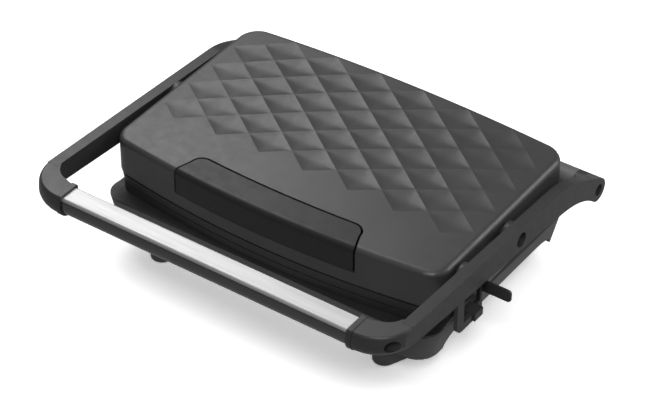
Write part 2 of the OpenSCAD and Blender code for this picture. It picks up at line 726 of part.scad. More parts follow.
block_w = 30;
block_d = 16;
block_h = 12;
block_pitch = 10;
block_gap = 28;
block_y = tub_y + tub_d / 2 - block_gap - block_d;
module terminal_block() seat() color(ceramic) difference() {
    translate([gland_x - block_w / 2, block_y, floor_top]) cube([block_w, block_d, block_h]);
    for (i = [-1 : 1], y = [block_d / 4, block_d * 3 / 4])
        translate([gland_x + block_pitch * i, block_y + y, floor_top + 5]) cylinder(h = block_h, r = 1.8);
}

// ---- plates and heaters ------------------------------------------------------

plate_y = (lid_front - lid_back) / 2;
rib_n = floor((plate_w / 2 - 10) / rib_pitch);
element_leg = 70;
element_bend = 42;

// Centre line of the heating element: two legs and a round front bend
module element_path(r) {
    for (s = [-1, 1]) translate([s * element_bend, plate_y - 6, 0]) rotate([-90, 0, 0])
        cylinder(h = element_leg - 14, r = r);
    translate([0, plate_y - 6, 0]) rotate([0, 0, 180]) rotate_extrude(angle = 180, $fn = 64)
        translate([element_bend, 0]) circle(r = r, $fn = 24);
}

module plate_screw_holes(z0, z1) for (x = [-1, 1], y = plate_screw_ys)
    translate([x * plate_screw_x, y, 0]) rod_z(z0, z1, screw_r);

// A ribbed plate, written for the lower one: face up at face_z
module plate_body() difference() {
    union() {
        between(lower_back_z, lower_face_z) polygon(lid_outline(-plate_inset));
        difference() {
            between(lower_face_z - tiny, lower_rib_z) polygon(lid_outline(-plate_inset));
            between(lower_face_z - 1, far) polygon(lid_outline(-plate_inset - 3));
        }
        intersection() {
            for (i = [-rib_n : rib_n]) translate([i * rib_pitch, 0, 0]) along_y(-far, 0)
                polygon([[-rib_w / 2 - 0.8, lower_face_z - tiny], [rib_w / 2 + 0.8, lower_face_z - tiny],
                    [rib_w / 2, lower_rib_z], [-rib_w / 2, lower_rib_z]]);
            between(0, far) polygon(lid_outline(-plate_inset - 7));
        }
    }
    translate([0, 0, element_z]) element_path(element_r);
    plate_screw_holes(0, lower_back_z + 2.2);
}

module element_body() {
    translate([0, 0, element_z]) element_path(element_r);
    for (s = [-1, 1]) translate([s * element_bend, plate_y - 6 + element_leg - 14, element_z])
        rotate([-90, 0, 0]) cylinder(h = 9, r = 1.6);
}

shield_z = lower_back_z - shield_drop;
module shield_body() {
    // a folded tray that stands off the plate and seats against its back
    difference() {
        between(shield_z - shield_t, lower_back_z) polygon(lid_outline(-plate_inset - 7));
        between(shield_z, lower_back_z + 1) polygon(lid_outline(-plate_inset - 7 - shield_t));
        translate([0, stat_y, shield_z - 1]) cylinder(h = 2, r = stat_r + 5);
    }
}

module plate_screws_body() for (x = [-1, 1], y = plate_screw_ys) translate([x * plate_screw_x, y, 0]) {
    rod_z(lower_back_z - 2.7, lower_back_z + 2.2, screw_r);
    rod_z(lower_back_z - 2.2 - 1.8, lower_back_z - 2.2, 2.4);
}

// Turns a lower piece into the upper one, about the joint between the plates
module flip() translate([0, 0, 2 * part_z]) mirror([0, 0, 1]) children();

module lower_plate() seat() color(cast) plate_body();
module lower_element() seat() color(steel) element_body();
module lower_shield() seat() color(steel) shield_body();
module lower_plate_screws() seat() color(steel) plate_screws_body();
module upper_plate() seat() color(cast) flip() plate_body();
module upper_element() seat() color(steel) flip() element_body();
module upper_shield() seat() color(steel) flip() shield_body();
module upper_plate_screws() seat() color(steel) flip() plate_screws_body();

stat_y = plate_y + 30;
stat_r = 9;
stat_h = 9;
stat_tab = [28, 6, 1];
module thermostat() seat() color(ceramic) translate([0, stat_y, lower_back_z]) {
    rod_z(-stat_h, 0, stat_r);
    translate([-stat_tab[0] / 2, -stat_tab[1] / 2, 1 - stat_h]) cube(stat_tab);
}

module thermal_cutoff() seat() color(ceramic) translate([-16, plate_y + 2, lower_back_z - 2.4])
    rod_x(0, 32, 2.4);

// ---- lid -----------------------------------------------------------------------

// Quilted top: a height field on a grid of half diamonds
grid_x = diamond_w / 4;
grid_y = diamond_d / 4;
quilt_y1 = -lid_back - quilt_back;
quilt_y0 = quilt_y1 - (quilt_rows + 1) * diamond_d / 2;
cols = ceil((lid_w / 2 + 3) / grid_x);
rows_back = 2;
rows_front = ceil((quilt_y0 - lid_front + 3) / grid_y);
rows_all = rows_front + 2 * (quilt_rows + 1) + rows_back;
grid_front = quilt_y0 - rows_front * grid_y;

// cell (k, j) is a diamond when k + j is odd and it fits between the lid's sides
quilt_cols = floor((lid_w / 2 - quilt_side) / (diamond_w / 2));
function is_diamond(k, j) = (k + j) % 2 != 0 && j >= 1 && j <= quilt_rows && abs(k) < quilt_cols;
function scoop_in(u, v) = abs(u) + abs(v) >= 1 ? 0 :
    scoop * (1 - pow(u + v, 2)) * (1 - pow(u - v, 2));
function scoop_at(x, y) = let (k0 = floor(2 * x / diamond_w + 0.001), j0 = floor(2 * (y - quilt_y0) / diamond_d + 0.001))
    max([for (k = [k0 : k0 + 1], j = [j0 : j0 + 1]) is_diamond(k, j) ?
        scoop_in(2 * x / diamond_w - k, 2 * (y - quilt_y0) / diamond_d - j) : 0]);

// A block up to the lid's top surface lowered by drop, on every step-th grid line
module top_block(step, drop, quilted) {
    half_n = ceil(cols / step);
    nx = 2 * half_n + 1;
    ny = ceil(rows_all / step) + 1;
    xs = [for (i = [-half_n : half_n]) i * step * grid_x];
    ys = [for (j = [0 : ny - 1]) grid_front + j * step * grid_y];
    pts = concat([for (y = ys, x = xs) [x, y, top_z(x, y) - drop - (quilted ? scoop_at(x, y) : 0)]],
        [for (c = [[0, 0], [nx - 1, 0], [nx - 1, ny - 1], [0, ny - 1]]) [xs[c[0]], ys[c[1]], 50]]);
    b = nx * ny;
    top = [for (j = [0 : ny - 2], i = [0 : nx - 2]) let (a = j * nx + i, c = a + nx)
        each ((i - half_n + j - rows_front) % 2 == 0 ?
            [[a, c, c + 1], [a, c + 1, a + 1]] : [[a, c, a + 1], [a + 1, c, c + 1]])];
    front = concat([for (i = [0 : nx - 1]) i], [b + 1, b]);
    back = concat([for (i = [nx - 1 : -1 : 0]) (ny - 1) * nx + i], [b + 3, b + 2]);
    left = concat([for (j = [ny - 1 : -1 : 0]) j * nx], [b, b + 3]);
    right = concat([for (j = [0 : ny - 1]) j * nx + nx - 1], [b + 2, b + 1]);
    polyhedron(points = pts, faces = concat(top, [front, back, left, right, [b, b + 1, b + 2, b + 3]]));
}

// Everything under the lid's top, lowered by s
module under_top(s) top_block(2, s, false);

// The lid's outer envelope with its rounded top edge, set in by s; it rounds off just over
// the crown, so that the crown's own surface is what ends the lid
envelope_over = 0.07;
module lid_envelope(s) loft(concat(
    [at_z(lid_outline(-s), lid_skirt_z - (s > 0 ? 1 : 0))],
    [for (a = [0 : 22.5 : 90]) at_top(lid_outline(-s - lid_edge_r * (1 - cos(a))),
        s - envelope_over + lid_edge_r * (1 - sin(a)))],
    [at_z(lid_outline(-s - lid_edge_r), lid_edge_z + lid_rise + lid_crown + 5)]));

// Outline of the insert from above, grown by g; its back edge follows the lid's front
insert_r = 8;
function insert_plan(g) = let (
    big = lid_bow_r - insert_d, x = insert_back_w / 2 - insert_r, r = insert_r + g,
    y = bow_y - sqrt(pow(big + insert_r, 2) - x * x), a = atan2(x, bow_y - y), side = insert_w / 2 + g) concat(
    [[-side, lid_front - 9], [side, lid_front - 9], [side, lid_front + 5]],
    arc([x, y], r, 0, 90 + a, 6),
    [for (i = [3 : -1 : -3]) [0, bow_y] - (big - g) * [sin(-i * a / 4), cos(i * a / 4)]],
    arc([-x, y], r, 90 - a, 180, 6),
    [[-side, lid_front + 5]]);

module insert_block(g) between(insert_z - g, far) polygon(insert_plan(g));

lid_screw_xy = [for (x = [-1, 1], y = screw_ys) [x * frame_screw_x, y]];

module lid_skin() difference() {
    intersection() {
        top_block(1, 0, true);
        lid_envelope(0);
    }
    difference() {
        intersection() {
            between(lid_skirt_z - 1, far) polygon(lid_outline(-lid_wall));
            under_top(lid_wall + scoop);
        }
        for (p = lid_screw_xy) translate([p[0], p[1], 0]) rod_z(lid_skirt_z, far, post_r);
        insert_backing();
    }
    // pocket of the insert
    difference() {
        insert_block(insert_gap);
        intersection() {
            lid_envelope(insert_t);
            under_top(insert_t);
        }
    }
}

module lid_cover() seat() color(lid_grey) difference() {
    resize([lid_w, 0, 0]) lid_skin();
    for (p = lid_screw_xy) translate([p[0], p[1], 0]) rod_z(lid_skirt_z - 1, lid_skirt_z + 12, screw_r);
    // open-ended slots that drop over the pivot bushes
    both() along_x(lid_w / 2 - lid_wall - 1, lid_w / 2 + 1) {
        translate([-pivot_back, pivot_z]) circle(r = pivot_slot_r);
        translate([-pivot_back - pivot_slot_r, lid_skirt_z - 1])
            square([2 * pivot_slot_r, pivot_z - lid_skirt_z + 1]);
    }
}

// material kept behind the insert's pocket
module insert_backing() difference() {
    between(insert_z - 3, far) polygon(insert_plan(3));
    intersection() {
        between(0, far) polygon(lid_outline(-lid_wall - insert_t));
        under_top(lid_wall + insert_t);
    }
}

module front_insert() seat() color(insert_grey) resize([insert_w, 0, 0]) difference() {
    intersection() {
        lid_envelope(-0.2);
        under_top(-0.2);
        insert_block(0);
    }
    intersection() {
        lid_envelope(insert_t);
        under_top(insert_t);
    }
}

module lid_frame() seat() color(black) difference() {
    union() {
        loft([at_z(lid_outline(rim_top_g), lid_frame_z), at_z(lid_outline(-0.6), lid_skirt_z)]);
        // ledge behind the plate
        between(lid_skirt_z - tiny, 2 * part_z - lower_back_z + 2.2) polygon(lid_outline(-plate_inset + 1.8));
        // ears that carry the pivot bushes
        both() along_x(ear_in, ear_out) {
            translate([-pivot_back, pivot_z]) circle(r = ear_r);
            translate([-pivot_back - ear_r, lid_skirt_z - 1]) square([2 * ear_r, pivot_z - lid_skirt_z + 1]);
        }
    }
    between(0, 2 * part_z - lower_back_z) polygon(lid_outline(-plate_inset + plate_fit));
    between(0, 2 * part_z - lower_back_z + 2.3) polygon(lid_outline(-plate_inset - ledge));
    flip() plate_screw_holes(0, far);
    for (p = lid_screw_xy) translate([p[0], p[1], 0]) {
        rod_z(0, far, screw_r);
        rod_z(0, lid_frame_z + 3, screw_head_r + 0.2);
        rod_z(lid_skirt_z, far, post_r + 0.2);
    }
    both() translate([0, -pivot_back, pivot_z]) rod_x(ear_in - 1, ear_out + 1, bush_r);
}

module lid_screws() seat() color(steel) for (p = lid_screw_xy) translate([p[0], p[1], 0]) {
    rod_z(lid_frame_z + 2.5, lid_skirt_z + 10, screw_r);
    rod_z(lid_frame_z + 0.8, lid_frame_z + 3, screw_head_r);
}

module pivot_bushes() seat() color(black) both() translate([0, -pivot_back, pivot_z]) difference() {
    union() {
        rod_x(ear_in, ear_out, bush_r);
        rod_x(ear_out, arm_in - boss_t - bush_gap, bush_flange_r);
    }
    rod_x(ear_in - 1, half, pivot_pin_r + run_gap);
}

lower_housing();
bottom_pan();
foot_posts();
pan_screws();
base_frame();
lower_plate();
lower_element();
lower_shield();
lower_plate_screws();
thermostat();
thermal_cutoff();
terminal_block();
cord_gland();
housing_screws();
rubber_feet();
catch_plate();
hinge_pins();
right_arm();
left_arm();
right_arm_strip();
left_arm_strip();
grip_core();
grip_strip();
grip_collars();
grip_screws();
pivot_pins();
latch_pin();
lid_cover();
front_insert();
lid_frame();
upper_plate();
upper_element();
upper_shield();
upper_plate_screws();
lid_screws();
pivot_bushes();
latch();
release_lever();
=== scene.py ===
"""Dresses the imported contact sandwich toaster: its quilted lid, handle frame, base, latch and stage."""

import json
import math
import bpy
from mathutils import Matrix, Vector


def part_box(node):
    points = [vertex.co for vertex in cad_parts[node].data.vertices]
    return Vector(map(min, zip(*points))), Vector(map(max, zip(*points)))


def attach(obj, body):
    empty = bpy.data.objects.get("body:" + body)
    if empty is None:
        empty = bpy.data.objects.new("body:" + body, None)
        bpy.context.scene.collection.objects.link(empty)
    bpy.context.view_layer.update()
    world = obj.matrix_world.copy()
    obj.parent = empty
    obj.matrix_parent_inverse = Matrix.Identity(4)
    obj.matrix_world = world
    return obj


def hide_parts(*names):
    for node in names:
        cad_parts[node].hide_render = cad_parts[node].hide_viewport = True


bl_info = {
    "name": "Contact Sandwich Toaster",
    "version": (1, 0, 0),
    "blender": (4, 5, 0),
    "location": "View3D > Sidebar > Toaster",
    "description": "Builds the looks of a contact sandwich toaster round its packed model",
    "category": "Add Mesh",
}

import bmesh
import bpy
from bpy.props import FloatProperty, FloatVectorProperty, IntProperty, PointerProperty
from mathutils import Vector

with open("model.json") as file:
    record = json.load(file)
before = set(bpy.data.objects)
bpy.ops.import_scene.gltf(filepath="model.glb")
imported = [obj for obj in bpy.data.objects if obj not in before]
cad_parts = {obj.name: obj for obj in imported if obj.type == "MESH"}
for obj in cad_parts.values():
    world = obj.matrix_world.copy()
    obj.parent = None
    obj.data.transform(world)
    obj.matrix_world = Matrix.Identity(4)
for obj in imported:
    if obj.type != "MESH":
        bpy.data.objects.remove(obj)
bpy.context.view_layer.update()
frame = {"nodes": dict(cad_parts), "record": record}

# how near two points are one point: in a node's own mesh, and in a band that has been changed
MERGE = 4e-6
BAND_MERGE = 2e-5
LID_LOW, LID_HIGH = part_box("lid_cover")
LID_X = (LID_LOW.x + LID_HIGH.x) / 2
QUARTER = math.radians(90)


# ---- sizes and colours ---------------------------------------------------------


def length(name, description, default):
    """A length that a user may change."""
    return FloatProperty(name=name, description=description, default=default, unit="LENGTH")


def colour(name, description, default):
    """A colour that a user may change."""
    return FloatVectorProperty(name=name, description=description, default=default, subtype="COLOR", size=3)


def position(name, description, default):
    """A place that a user may change."""
    return FloatVectorProperty(
        name=name, description=description, default=default, subtype="TRANSLATION", size=3,
    )


class LidSizes(bpy.types.PropertyGroup):
    """Sizes of the lid's shell, of its quilting and of the insert in its front"""

    bow_radius: length("Bow radius", "Radius of the lid's bowed front edge", 0.69)
    corner_radius: length("Corner radius", "Radius of the lid's corners from above", 0.015)
    edge_radius: length("Edge radius", "Rounding of the lid's top edge", 0.0042)
    edge_height: length("Edge height", "Height of the top edge at the front corners", 0.0833)
    rise: length("Rise", "Rise of the top edge from front to back", 0.0027)
    crown: length("Crown", "How much higher the middle of the back edge is than its corners", 0.0054)
    crown_run: length("Crown run", "Distance over which the crown fades out to the front", 0.206)
    wall: length("Wall", "Thickness of the moulded shell", 0.0025)
    diamond_width: length("Diamond width", "Width of one quilted diamond", 0.0346)
    diamond_depth: length("Diamond depth", "Front-to-back size of one diamond", 0.0251)
    scoop: length("Scoop", "How deep each diamond is hollowed", 0.0012)
    outer_depth: FloatProperty(
        name="Outer depth", description="Depth of the outermost diamonds as a share of the others",
        default=0.65, min=0.0, max=1.0,
    )
    quilt_back: length("Quilt margin", "Gap between the last row and the lid's back edge", 0.0035)
    quilt_side: length("Side margin", "Least gap between the quilting and the lid's sides", 0.005)
    rows: IntProperty(name="Rows", description="Rows of diamonds", default=8, min=1)
    steps: IntProperty(name="Steps", description="Mesh steps along a diamond's edge", default=12, min=2)
    seam: length("Seam", "Height of the dark seams under the lid and the base frame", 0.0009)
    thin_seam: length("Thin seam", "Height of the dark seam under the lid's lower band", 0.0003)
    ledge: length("Ledge", "How far the base frame's wall is set back from the lid's outline", 0.0015)
    insert_width: length("Insert width", "Width of the insert at the lid's front", 0.139)
    insert_back_width: length("Insert back width", "Width of the insert at its back edge", 0.131)
    insert_depth: length("Insert depth", "Depth of the insert on the lid's top", 0.0212)
    insert_corner: length("Insert corner", "Radius of the insert's back corners from above", 0.008)
    insert_low: length("Insert low edge", "Height of the insert's lower edge", 0.0663)
    insert_wall: length("Insert wall", "Thickness of the insert", 0.0016)
    insert_gap: length("Insert gap", "Width of the groove round the insert", 0.0015)


class Finishes(bpy.types.PropertyGroup):
    """Colours of the moulded and metal parts, and how round their edges look"""

    lid: colour("Lid", "Colour of the lid", (0.038, 0.038, 0.0395))
    arms: colour("Arms", "Colour of the handle arms", (0.026, 0.026, 0.0272))
    housing: colour("Housing", "Colour of the base", (0.09, 0.09, 0.0925))
    insert: colour("Insert", "Colour of the lid's front insert", (0.014, 0.014, 0.0145))
    grip: colour("Grip", "Colour of the brushed strip", (0.45, 0.45, 0.455))
    soft_edge: length("Soft edge", "Rounding of moulded edges", 0.0008)
    fine_edge: length("Fine edge", "Rounding of the edges of small parts", 0.0004)


class StageSizes(bpy.types.PropertyGroup):
    """Camera and floor"""

    lens: FloatProperty(name="Lens", description="Focal length on a 36 mm sensor, in mm", default=138.21)
    camera: position("Camera", "Camera position", (0.73535, -1.0406, 1.0481))
    target: position("Target", "Point the camera looks at", (0.06304, -0.0883, 0.14002))
    floor_grey: FloatProperty(
        name="Floor grey", description="Colour of the floor in the light it throws on the toaster",
        default=0.25, min=0.0, max=1.0,
    )
    floor_white: FloatProperty(
        name="Floor white", description="Colour of the floor as the camera sees it", default=1.5, min=0.0,
    )
    floor_glow: FloatProperty(
        name="Floor glow", description="Share of plain white in the floor that the camera sees",
        default=0.25, min=0.0, max=1.0,
    )
    mirrored_glow: FloatProperty(
        name="Mirrored glow", description="How much of that white shows in gloss and through glass",
        default=0.6, min=0.0, max=1.0,
    )


# ---- materials -------------------------------------------------------------------


def new_material(name, tint, roughness, metallic=0.0):
    """A material with one shader, its nodes and links, and a coordinate source in metres."""
    mat = bpy.data.materials.new(name)
    mat.use_nodes = True
    tree = mat.node_tree
    shader = tree.nodes["Principled BSDF"]
    shader.inputs["Base Color"].default_value = (*tint, 1)
    shader.inputs["Roughness"].default_value = roughness
    shader.inputs["Metallic"].default_value = metallic
    coords = tree.nodes.new("ShaderNodeTexCoord").outputs["Object"]
    return mat, tree, shader, coords


def noise(tree, coords, scale, detail=3.0, rough=0.5, stretch=(1, 1, 1)):
    """Noise over the object, stretched along an axis where a finish has a direction."""
    mapping = tree.nodes.new("ShaderNodeMapping")
    mapping.inputs["Scale"].default_value = stretch
    tree.links.new(coords, mapping.inputs["Vector"])
    node = tree.nodes.new("ShaderNodeTexNoise")
    node.inputs["Scale"].default_value = scale
    node.inputs["Detail"].default_value = detail
    node.inputs["Roughness"].default_value = rough
    tree.links.new(mapping.outputs["Vector"], node.inputs["Vector"])
    return node.outputs["Fac"]


def ramp(tree, value, low, high, start=0.3, end=0.7):
    """Maps a 0 to 1 value to a colour or grey between two ends."""
    node = tree.nodes.new("ShaderNodeValToRGB")
    a, b = node.color_ramp.elements
    a.position, b.position = start, end
    a.color = (*low, 1) if hasattr(low, "__len__") else (low, low, low, 1)
    b.color = (*high, 1) if hasattr(high, "__len__") else (high, high, high, 1)
    tree.links.new(value, node.inputs["Fac"])
    return node.outputs["Color"]


def bump(tree, shader, height, strength, distance, below=None):
    """Adds a bump to the shader's normal, on top of an earlier one if there is one."""
    node = tree.nodes.new("ShaderNodeBump")
    node.inputs["Strength"].default_value = strength
    node.inputs["Distance"].default_value = distance
    tree.links.new(height, node.inputs["Height"])
    if below is not None:
        tree.links.new(below, node.inputs["Normal"])
    tree.links.new(node.outputs["Normal"], shader.inputs["Normal"])
    return node.outputs["Normal"]


def shade(tint, factor):
    """The same tint, darker or lighter."""
    return tuple(c * factor for c in tint)


def moulded(name, tint, roughness, grain=0.25, pebble=1400.0, mottle=0.10, specular=0.4):
    """Moulded plastic: a fine pebbled grain, faint flow mottling and a slightly uneven sheen."""
    mat, tree, shader, coords = new_material(name, tint, roughness)
    flow = noise(tree, coords, 22.0, 4.0)
    mottled = ramp(tree, flow, shade(tint, 1 - mottle), shade(tint, 1 + mottle))
    tree.links.new(mottled, shader.inputs["Base Color"])
    sheen = noise(tree, coords, 160.0, 5.0, 0.6)
    tree.links.new(ramp(tree, sheen, roughness - 0.05, roughness + 0.06), shader.inputs["Roughness"])
    pebbles = tree.nodes.new("ShaderNodeTexVoronoi")
    pebbles.feature = "SMOOTH_F1"
    pebbles.inputs["Scale"].default_value = pebble
    tree.links.new(coords, pebbles.inputs["Vector"])
    normal = bump(tree, shader, pebbles.outputs["Distance"], grain, 0.00012)
    bump(tree, shader, noise(tree, coords, 420.0, 2.0), grain * 0.5, 0.0001, normal)
    shader.inputs["Specular IOR Level"].default_value = specular
    return mat


def brushed(name, tint, roughness, along=(1, 1, 1), strength=0.3, streaks=900.0):
    """Brushed metal: long fine scratches along one direction in colour, gloss and relief."""
    mat, tree, shader, coords = new_material(name, tint, roughness, 1.0)
    fine = noise(tree, coords, streaks, 6.0, 0.7, along)
    broad = noise(tree, coords, streaks * 0.22, 3.0, 0.5, along)
    tree.links.new(ramp(tree, broad, shade(tint, 0.93), shade(tint, 1.03)), shader.inputs["Base Color"])
    tree.links.new(ramp(tree, fine, roughness - 0.06, roughness + 0.1), shader.inputs["Roughness"])
    bump(tree, shader, fine, strength, 0.00003)
    return mat


def coated(name, tint, roughness):
    """Non-stick coating on cast metal: dark, faintly orange-peeled, with tiny pale flecks."""
    mat, tree, shader, coords = new_material(name, tint, roughness)
    flecks = tree.nodes.new("ShaderNodeTexVoronoi")
    flecks.inputs["Scale"].default_value = 900.0
    tree.links.new(coords, flecks.inputs["Vector"])
    flecked = ramp(tree, flecks.outputs["Distance"], shade(tint, 4.0), tint, 0.05, 0.16)
    tree.links.new(flecked, shader.inputs["Base Color"])
    uneven = ramp(tree, noise(tree, coords, 300.0), roughness - 0.06, roughness + 0.08)
    tree.links.new(uneven, shader.inputs["Roughness"])
    bump(tree, shader, noise(tree, coords, 700.0, 4.0), 0.3, 0.00008)
    return mat


def rubbery(name, tint):
    """Matt rubber with a dusty surface."""
    mat, tree, shader, coords = new_material(name, tint, 0.85)
    dust = ramp(tree, noise(tree, coords, 90.0, 5.0), shade(tint, 0.8), shade(tint, 1.7))
    tree.links.new(dust, shader.inputs["Base Color"])
    bump(tree, shader, noise(tree, coords, 1500.0, 2.0), 0.4, 0.0001)
    return mat


def glazed(name, tint):
    """Glazed ceramic with faint pooling in the glaze."""
    mat, tree, shader, coords = new_material(name, tint, 0.25)
    pooled = ramp(tree, noise(tree, coords, 60.0), shade(tint, 0.9), tint)
    tree.links.new(pooled, shader.inputs["Base Color"])
    bump(tree, shader, noise(tree, coords, 240.0), 0.15, 0.0001)
    return mat


def make_materials(looks):
    """Every finish of the toaster by its slot name."""
    return {
        "lid_plastic": moulded("lid_plastic", looks.lid, 0.38, 0.12),
        "arm_plastic": moulded("arm_plastic", looks.arms, 0.40, 0.2),
        "housing": moulded("housing_plastic", looks.housing, 0.50, 0.3),
        "black_plastic": moulded("black_plastic", (0.022, 0.022, 0.023), 0.5, 0.25),
        "insert_gloss": moulded("insert_plastic", looks.insert, 0.42, 0.08, 1800.0, 0.05, 0.27),
        "grip_bar": moulded("grip_gloss", (0.01, 0.01, 0.0104), 0.25, 0.03, 1800.0, 0.05, 1.0),
        "frame_band": moulded("frame_band", (0.02, 0.02, 0.021), 0.45, 0.2, 1400.0, 0.1, 0.3),
        # near-black steel: partly a dark metal finish, partly painted shade standing in for the shadowed
        # gap and bores where the pivot pins sit
        "dark_steel": brushed("dark_steel", (0.06, 0.06, 0.062), 0.45, (1, 1, 0.2), 0.15),
        "brushed_strip": brushed("brushed_strip", looks.grip, 0.5, (0.02, 1, 1)),
        "steel": brushed("zinc_steel", (0.62, 0.62, 0.63), 0.35, (1, 1, 0.2), 0.15),
        "sheet": brushed("sheet_metal", (0.7, 0.7, 0.71), 0.38, (0.05, 1, 1), 0.1),
        "plate": coated("plate_coating", (0.018, 0.018, 0.018), 0.38),
        "ceramic": glazed("glazed_ceramic", (0.8, 0.77, 0.7)),
        "rubber": rubbery("foot_rubber", (0.02, 0.02, 0.02)),
    }


# ---- making pieces ------------------------------------------------------------------

MATERIALS = {}
# height of each band's underside, where the dark seam below it starts
UNDERSIDE = {"lid_frame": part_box("lid_frame")[0].z, "base_frame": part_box("lower_housing")[1].z}
# nodes whose finish differs from the rest of their slot; the pivot pins' near-black steel is partly their
# own dark finish, partly painted shade for the shadowed gap and bores they sit in
OWN_FINISH = {"grip_core": "grip_bar", "pivot_pins": "dark_steel"}
# faces that meet at less than this are one flat face
FLAT = math.radians(0.3)
# edges that turn by more than this are rounded
SHARP = math.radians(35)
# edges that turn by less than this are shaded smooth, and on the lid's fine mesh by much less
SMOOTH = math.radians(32)
LID_SMOOTH = math.radians(9)
SLOT_OF = {s["node"]: s["material_slot"] for s in frame["record"]["subparts"]}
BODY_OF = {n: b for b, ns in frame["record"]["behaviour"]["bodies"].items() for n in ns}


def materials(context):
    """The finishes, made once."""
    if not MATERIALS:
        MATERIALS.update(make_materials(context.scene.toaster_finishes))
    return MATERIALS


def from_node(node):
    """A merged copy of a node's mesh, its flat faces made whole again."""
    bm = bmesh.new()
    bm.from_mesh(frame["nodes"][node].data)
    bmesh.ops.remove_doubles(bm, verts=bm.verts, dist=MERGE)
    bmesh.ops.dissolve_limit(bm, angle_limit=FLAT, verts=bm.verts, edges=bm.edges)
    for e in bm.edges:
        e.smooth = True
    return bm


def soften(bm, width):
    """Rounds the sharp edges of a merged mesh, apart from very short ones."""
    sharp = [
        e
        for e in bm.edges
        if len(e.link_faces) == 2
        and e.calc_face_angle(0.0) > SHARP
        and e.calc_length() > width * 0.6
    ]
    if sharp:
        bmesh.ops.bevel(
            bm, geom=sharp, offset=width, offset_type="OFFSET", segments=2, profile=0.5,
            affect="EDGES", clamp_overlap=True, material=-1,
        )


def finish_piece(context, bm, name, node, smooth=SMOOTH):
    """Turns a mesh into a finished piece that stands for its node."""
    mesh = bpy.data.meshes.new(name)
    bm.edges.index_update()
    crisp = [e.index for e in bm.edges if e.is_boundary or not e.smooth]
    bm.to_mesh(mesh)
    bm.free()
    mesh.shade_smooth()
    mesh.set_sharp_from_angle(angle=smooth)
    for i in crisp:
        mesh.edges[i].use_edge_sharp = True
    obj = bpy.data.objects.new(name, mesh)
    context.scene.collection.objects.link(obj)
    slot = SLOT_OF[node]
    mesh.materials.append(materials(context)[OWN_FINISH.get(node, slot)])
    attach(obj, BODY_OF[node])
    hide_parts(node)
    return obj


def level_shading(obj):
    """Lets the large faces decide how the light runs over the small ones at their edges."""
    weighted = obj.modifiers.new("level shading", "WEIGHTED_NORMAL")
    weighted.keep_sharp = True


def dress_node(context, node, name, width):
    """A node's own shape as a piece, with its edges rounded by a width, or left as they are."""
    bm = from_node(node)
    if width:
        soften(bm, width)
    level_shading(finish_piece(context, bm, name, node))


# ---- the lid --------------------------------------------------------------------------

# how far the insert's outline runs out in front of the lid, and straight back behind its front
INSERT_AHEAD = 0.009
INSERT_STRAIGHT = 0.005
# how far round a stretch of the insert's outline the skin is cut
CUT_REACH = 0.006
# slivers that crossing cuts leave are narrower than this
SLIVER = 0.00012
# the lid's wall, ring by ring: height above its lower edge, and how far a ring is tucked in
WALL_RINGS = ((0.016, 0.0), (0.0016, 0.0), (0.0008, 0.0002), (0.0003, 0.0004), (0.0, 0.0008))
# rings in the rounding of the lid's top edge
EDGE_RINGS = 12


